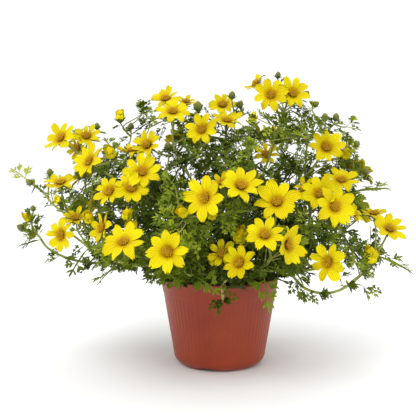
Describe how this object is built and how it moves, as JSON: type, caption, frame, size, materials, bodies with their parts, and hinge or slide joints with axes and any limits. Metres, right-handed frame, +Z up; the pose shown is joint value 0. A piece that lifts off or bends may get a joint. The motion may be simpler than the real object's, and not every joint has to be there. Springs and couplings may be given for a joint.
{
  "type": "potted bidens",
  "caption": "Bushy garden plant in bloom with yellow daisy-like flower heads, finely cut leaves and trailing stems, in a tapered nursery pot with soil.",
  "frame": {"origin": "centre of the pot's underside, on its middle foot", "axes": "+Z up along the pot's axis, -Y towards the viewer of the picture, +X to that viewer's right"},
  "size_m": [0.4004, 0.3505, 0.2989],
  "materials": {
    "pot": "matt moulded plastic, terracotta colour",
    "soil": "dark crumbly potting soil",
    "leaf": "matt green leaves and stems",
    "petal": "satin yellow petals with a golden brown disc"
  },
  "bodies": {
    "root": {"blooms_back_left_1": "petal", "blooms_back_left_2": "petal", "blooms_back_left_3": "petal", "blooms_back_left_4": "petal", "blooms_back_left_5": "petal", "blooms_back_right_1": "petal", "blooms_back_right_2": "petal", "blooms_back_right_3": "petal", "blooms_back_right_4": "petal", "blooms_back_right_5": "petal", "blooms_front_1": "petal", "blooms_front_2": "petal", "blooms_front_3": "petal", "blooms_front_left_1": "petal", "blooms_front_left_2": "petal", "blooms_front_left_3": "petal", "blooms_front_right_1": "petal", "blooms_front_right_2": "petal", "blooms_front_right_3": "petal", "blooms_left_1": "petal", "blooms_middle_1": "petal", "blooms_middle_2": "petal", "blooms_middle_3": "petal", "blooms_right_1": "petal", "blooms_right_2": "petal", "blooms_right_3": "petal", "blooms_right_4": "petal", "blooms_right_5": "petal", "blooms_right_6": "petal", "blooms_top_left_1": "petal", "blooms_top_left_2": "petal", "blooms_top_left_3": "petal", "blooms_top_left_4": "petal", "blooms_top_left_5": "petal", "blooms_top_left_6": "petal", "blooms_top_right_1": "petal", "blooms_top_right_2": "petal", "blooms_top_right_3": "petal", "blooms_upper_left_1": "petal", "blooms_upper_left_2": "petal", "blooms_upper_left_3": "petal", "blooms_upper_left_4": "petal", "blooms_upper_left_5": "petal", "leafy_stem_back_left": "leaf", "leafy_stem_back_right": "leaf", "leafy_stem_front": "leaf", "leafy_stem_front_left": "leaf", "leafy_stem_front_right": "leaf", "leafy_stem_left": "leaf", "leafy_stem_middle": "leaf", "leafy_stem_right": "leaf", "leafy_stem_top_left": "leaf", "leafy_stem_top_right": "leaf", "leafy_stem_upper_left": "leaf", "pot": "pot", "soil": "soil"}
  },
  "joints": []
}
